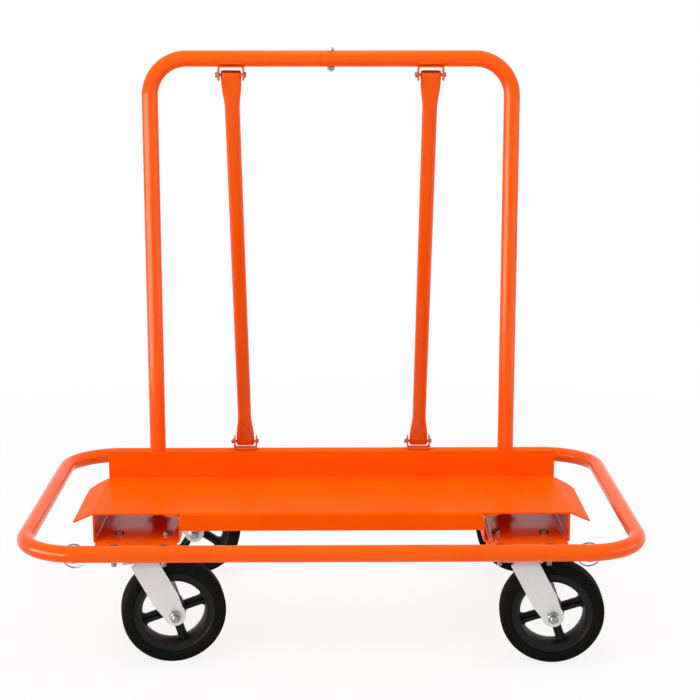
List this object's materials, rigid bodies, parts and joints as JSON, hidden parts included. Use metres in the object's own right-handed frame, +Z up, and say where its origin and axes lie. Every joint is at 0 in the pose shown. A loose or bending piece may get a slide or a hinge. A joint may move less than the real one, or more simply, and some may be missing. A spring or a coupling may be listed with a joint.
{
  "type": "drywall cart",
  "caption": "Drywall cart: bumper loop on swivel castors, bent deck with upstand, arched tube handle braced by rear struts; carries sheets standing on edge.",
  "frame": {"origin": "on the floor under the middle of the bumper loop", "axes": "+Z up, +X along the cart's length to the right, -Y towards the deck's open front"},
  "size_m": [1.204, 0.74, 1.161],
  "materials": {
    "orange_paint": "gloss",
    "zinc_plate": "satin",
    "bright_steel": "polished",
    "black_core": "painted satin",
    "tyre_rubber": "matte"
  },
  "bodies": {
    "frame": {"bumper_loop": "orange_paint", "left_channel": "orange_paint", "right_channel": "orange_paint", "deck": "orange_paint", "left_handle": "orange_paint", "right_handle": "orange_paint", "handle_spigots": "orange_paint", "left_strut": "orange_paint", "right_strut": "orange_paint", "strut_brackets": "orange_paint", "pin_lugs": "orange_paint", "handle_bolt": "zinc_plate", "foot_bolts": "zinc_plate", "handle_nuts": "zinc_plate", "strut_bolts": "zinc_plate", "strut_nuts": "zinc_plate", "castor_bolts": "zinc_plate", "castor_nuts": "zinc_plate", "linch_pins": "zinc_plate", "front_left_plate": "zinc_plate", "front_left_balls": "bright_steel", "front_left_kingpin": "zinc_plate", "front_right_plate": "zinc_plate", "front_right_balls": "bright_steel", "front_right_kingpin": "zinc_plate", "rear_left_plate": "zinc_plate", "rear_left_balls": "bright_steel", "rear_left_kingpin": "zinc_plate", "rear_right_plate": "zinc_plate", "rear_right_balls": "bright_steel", "rear_right_kingpin": "zinc_plate"},
    "front_left_castor": {"front_left_fork": "zinc_plate", "front_left_axle_bolt": "zinc_plate", "front_left_axle_nut": "zinc_plate"},
    "front_left_wheel": {"front_left_bearing": "bright_steel", "front_left_hub": "black_core", "front_left_tyre": "tyre_rubber"},
    "front_right_castor": {"front_right_fork": "zinc_plate", "front_right_axle_bolt": "zinc_plate", "front_right_axle_nut": "zinc_plate"},
    "front_right_wheel": {"front_right_bearing": "bright_steel", "front_right_hub": "black_core", "front_right_tyre": "tyre_rubber"},
    "rear_left_castor": {"rear_left_fork": "zinc_plate", "rear_left_axle_bolt": "zinc_plate", "rear_left_axle_nut": "zinc_plate"},
    "rear_left_wheel": {"rear_left_bearing": "bright_steel", "rear_left_hub": "black_core", "rear_left_tyre": "tyre_rubber"},
    "rear_right_castor": {"rear_right_fork": "zinc_plate", "rear_right_axle_bolt": "zinc_plate", "rear_right_axle_nut": "zinc_plate"},
    "rear_right_wheel": {"rear_right_bearing": "bright_steel", "rear_right_hub": "black_core", "rear_right_tyre": "tyre_rubber"},
    "left_snap_ring": {"left_linch_ring": "bright_steel"},
    "right_snap_ring": {"right_linch_ring": "bright_steel"}
  },
  "joints": [
    {"name": "front_left_swivel", "type": "hinge", "parent": "frame", "child": "front_left_castor", "pos_m": [-0.364, -0.262, 0.218], "axis": [0, 0, 1], "continuous": true},
    {"name": "front_left_roll", "type": "hinge", "parent": "front_left_castor", "child": "front_left_wheel", "pos_m": [-0.30581, -0.25226, 0.1], "axis": [-0.165, 0.9863, 0], "continuous": true},
    {"name": "front_right_swivel", "type": "hinge", "parent": "frame", "child": "front_right_castor", "pos_m": [0.364, -0.262, 0.218], "axis": [0, 0, 1], "continuous": true},
    {"name": "front_right_roll", "type": "hinge", "parent": "front_right_castor", "child": "front_right_wheel", "pos_m": [0.42292, -0.26509, 0.1], "axis": [0.0523, 0.9986, 0], "continuous": true},
    {"name": "rear_left_swivel", "type": "hinge", "parent": "frame", "child": "rear_left_castor", "pos_m": [-0.364, 0.262, 0.218], "axis": [0, 0, 1], "continuous": true},
    {"name": "rear_left_roll", "type": "hinge", "parent": "rear_left_castor", "child": "rear_left_wheel", "pos_m": [-0.305, 0.262, 0.1], "axis": [0, 1, 0], "continuous": true},
    {"name": "rear_right_swivel", "type": "hinge", "parent": "frame", "child": "rear_right_castor", "pos_m": [0.364, 0.262, 0.218], "axis": [0, 0, 1], "continuous": true},
    {"name": "rear_right_roll", "type": "hinge", "parent": "rear_right_castor", "child": "rear_right_wheel", "pos_m": [0.423, 0.262, 0.1], "axis": [0, 1, 0], "continuous": true},
    {"name": "left_ring_swing", "type": "hinge", "parent": "frame", "child": "left_snap_ring", "pos_m": [-0.50312, -0.324, 0.2308], "axis": [0, 0, 1], "range_deg": [0, 150]},
    {"name": "right_ring_swing", "type": "hinge", "parent": "frame", "child": "right_snap_ring", "pos_m": [0.50312, -0.324, 0.2308], "axis": [0, 0, -1], "range_deg": [0, 150]}
  ]
}
